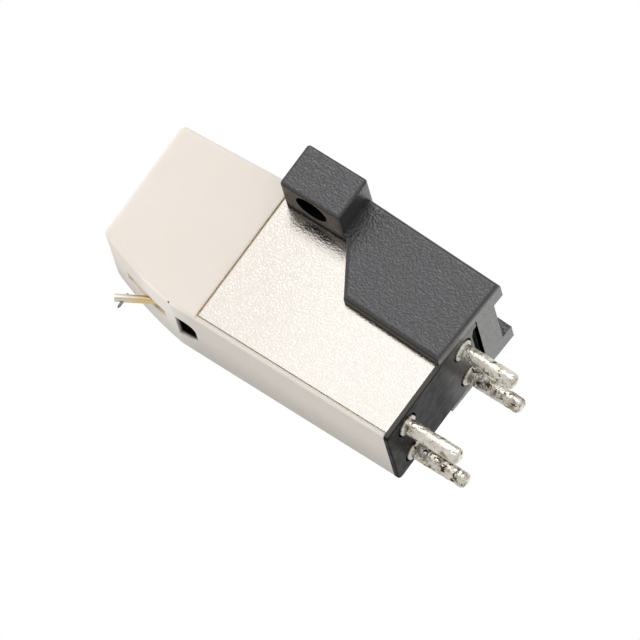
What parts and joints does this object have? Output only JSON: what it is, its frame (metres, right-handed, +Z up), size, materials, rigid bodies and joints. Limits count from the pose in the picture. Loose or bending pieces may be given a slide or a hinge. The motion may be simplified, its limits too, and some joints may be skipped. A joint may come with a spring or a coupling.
{
  "type": "turntable stylus cartridge",
  "caption": "Moving-magnet phono cartridge: metal can in a black screw-ear saddle, pull-off cream stylus holder with a sprung cantilever, and rear terminal pins.",
  "frame": {"origin": "midway between the two screw holes, on the mounting face of the ears", "axes": "+Z up to the headshell, +Y back along the body to the terminal pins, -Y forward to the stylus"},
  "size_m": [0.0162, 0.0322, 0.0162],
  "materials": {
    "housing_plastic": "fine-grained black moulding",
    "can_metal": "bright nickel plate with a fine pebbled surface",
    "plate_plastic": "smooth black moulding",
    "pin_metal": "dull tin plate with dark specks",
    "pole_iron": "soft iron, bare",
    "bobbin_plastic": "natural nylon",
    "coil_wire": "enamelled copper wire",
    "frame_plastic": "plain grey moulding",
    "holder_plastic": "smooth satin cream moulding",
    "sleeve_metal": "drawn brass tube",
    "damper_rubber": "soft black rubber",
    "cantilever_metal": "thin tube with a gold tint, bare at its end",
    "magnet_alloy": "sintered, bare",
    "shank_metal": "dark drawn rod",
    "diamond": "polished conical point"
  },
  "bodies": {
    "body": {"housing": "housing_plastic", "shield_can": "can_metal", "terminal_plate": "plate_plastic", "terminal_pin_upper_right": "pin_metal", "terminal_pin_upper_left": "pin_metal", "terminal_pin_lower_right": "pin_metal", "terminal_pin_lower_left": "pin_metal", "pole_upper_right": "pole_iron", "pole_upper_left": "pole_iron", "pole_lower_right": "pole_iron", "pole_lower_left": "pole_iron", "bobbin_upper_right": "bobbin_plastic", "bobbin_upper_left": "bobbin_plastic", "bobbin_lower_right": "bobbin_plastic", "bobbin_lower_left": "bobbin_plastic", "coil_upper_right": "coil_wire", "coil_upper_left": "coil_wire", "coil_lower_right": "coil_wire", "coil_lower_left": "coil_wire", "yoke_right": "pole_iron", "yoke_left": "pole_iron", "core_frame": "frame_plastic"},
    "stylus": {"stylus_holder": "holder_plastic", "stylus_sleeve": "sleeve_metal"},
    "suspension": {"damper": "damper_rubber"},
    "cantilever": {"cantilever": "cantilever_metal", "magnet": "magnet_alloy", "stylus_shank": "shank_metal", "diamond_tip": "diamond"}
  },
  "joints": [
    {"name": "stylus_pull", "type": "slide", "parent": "body", "child": "stylus", "axis": [0, -1, 0], "range_m": [0, 0.0175]},
    {"name": "cantilever_lift", "type": "hinge", "parent": "stylus", "child": "suspension", "pos_m": [0, -0.0032, -0.01205], "axis": [-1, 0, 0], "range_deg": [-3, 6], "stiffness_Nm_per_rad": 0.006},
    {"name": "cantilever_swing", "type": "hinge", "parent": "suspension", "child": "cantilever", "pos_m": [0, -0.0032, -0.01205], "axis": [0, 0, 1], "range_deg": [-3, 3], "stiffness_Nm_per_rad": 0.006}
  ]
}
